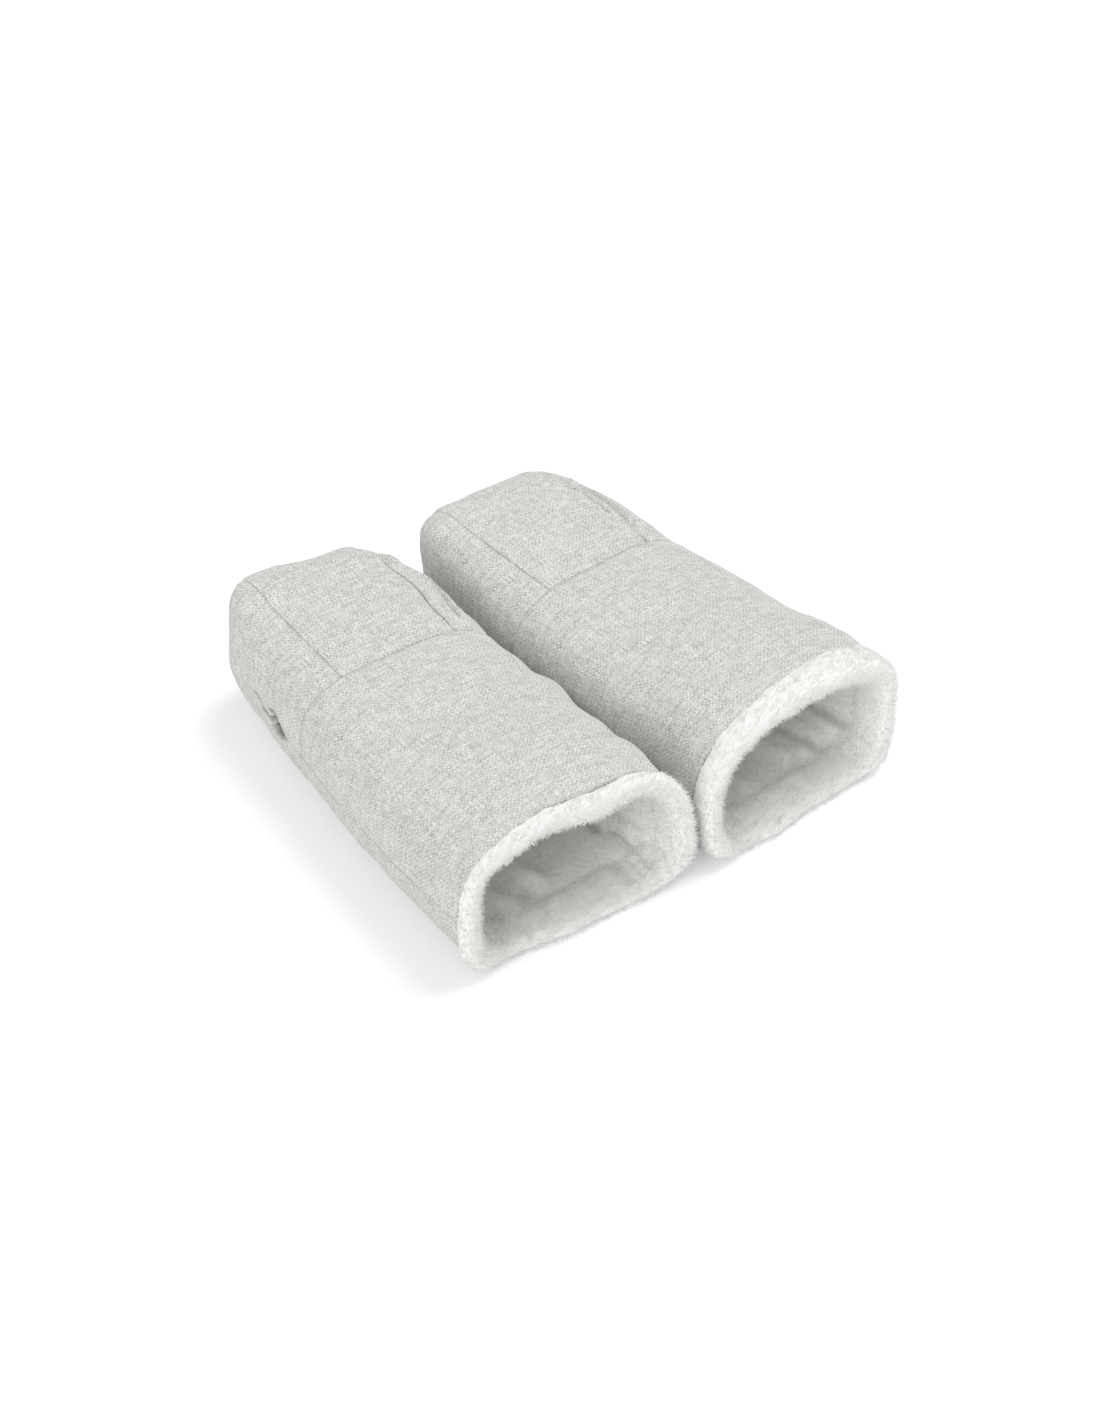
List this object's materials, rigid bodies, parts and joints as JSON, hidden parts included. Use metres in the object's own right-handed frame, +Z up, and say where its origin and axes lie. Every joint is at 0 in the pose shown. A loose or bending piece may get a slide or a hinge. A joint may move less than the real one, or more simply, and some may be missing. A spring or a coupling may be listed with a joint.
{
  "type": "stroller hand muff",
  "caption": "Padded, fleece-lined hand muffs for a stroller handlebar: fur-trimmed hand openings and toes that part into a slot closed by press studs.",
  "frame": {"origin": "on the surface that the pair lies on, under the middle of the pair's box", "axes": "+Y from the hand openings towards the toes, +X towards the right muff, +Z up; each muff's toe is turned in towards the other by 2.53 degrees"},
  "size_m": [0.3306, 0.3262, 0.0988],
  "materials": {
    "woven_shell": "coarse woven melange, light warm grey with pale slubs",
    "wadding": "white polyester wadding",
    "fleece_lining": "soft off-white fleece",
    "plush_fur": "white plush with a short dense pile",
    "snap_tape": "folded woven tape in the cover's colour",
    "snap_metal": "nickel-plated press stud"
  },
  "bodies": {
    "muff_pair": {"left_sleeve_top_panel": "woven_shell", "left_sleeve_bottom_panel": "woven_shell", "left_sleeve_padding": "wadding", "left_sleeve_lining": "fleece_lining", "left_fur_cuff": "plush_fur", "left_hood_top_panel": "woven_shell", "left_hood_outer_gusset": "woven_shell", "left_hood_inner_gusset": "woven_shell", "left_hood_padding": "wadding", "left_hood_lining": "fleece_lining", "left_hood_outer_snap_tab": "snap_tape", "left_outer_snap_socket": "snap_metal", "left_outer_socket_ring": "snap_metal", "left_hood_inner_snap_tab": "snap_tape", "left_inner_snap_socket": "snap_metal", "left_inner_socket_ring": "snap_metal", "right_sleeve_top_panel": "woven_shell", "right_sleeve_bottom_panel": "woven_shell", "right_sleeve_padding": "wadding", "right_sleeve_lining": "fleece_lining", "right_fur_cuff": "plush_fur", "right_hood_top_panel": "woven_shell", "right_hood_outer_gusset": "woven_shell", "right_hood_inner_gusset": "woven_shell", "right_hood_padding": "wadding", "right_hood_lining": "fleece_lining", "right_hood_outer_snap_tab": "snap_tape", "right_outer_snap_socket": "snap_metal", "right_outer_socket_ring": "snap_metal", "right_hood_inner_snap_tab": "snap_tape", "right_inner_snap_socket": "snap_metal", "right_inner_socket_ring": "snap_metal"},
    "left_flap": {"left_flap_outer_panel": "woven_shell", "left_flap_padding": "wadding", "left_flap_lining": "fleece_lining", "left_flap_outer_snap_tab": "snap_tape", "left_outer_snap_stud": "snap_metal", "left_outer_stud_ring": "snap_metal", "left_flap_inner_snap_tab": "snap_tape", "left_inner_snap_stud": "snap_metal", "left_inner_stud_ring": "snap_metal"},
    "right_flap": {"right_flap_outer_panel": "woven_shell", "right_flap_padding": "wadding", "right_flap_lining": "fleece_lining", "right_flap_outer_snap_tab": "snap_tape", "right_outer_snap_stud": "snap_metal", "right_outer_stud_ring": "snap_metal", "right_flap_inner_snap_tab": "snap_tape", "right_inner_snap_stud": "snap_metal", "right_inner_stud_ring": "snap_metal"}
  },
  "joints": [
    {"name": "left_flap_hinge", "type": "hinge", "parent": "muff_pair", "child": "left_flap", "pos_m": [-0.07599, 0.03287, 0], "axis": [-0.999, 0.0441, 0], "range_deg": [0, 110]},
    {"name": "right_flap_hinge", "type": "hinge", "parent": "muff_pair", "child": "right_flap", "pos_m": [0.07599, 0.03047, 0], "axis": [-0.999, -0.0441, 0], "range_deg": [0, 110]}
  ]
}
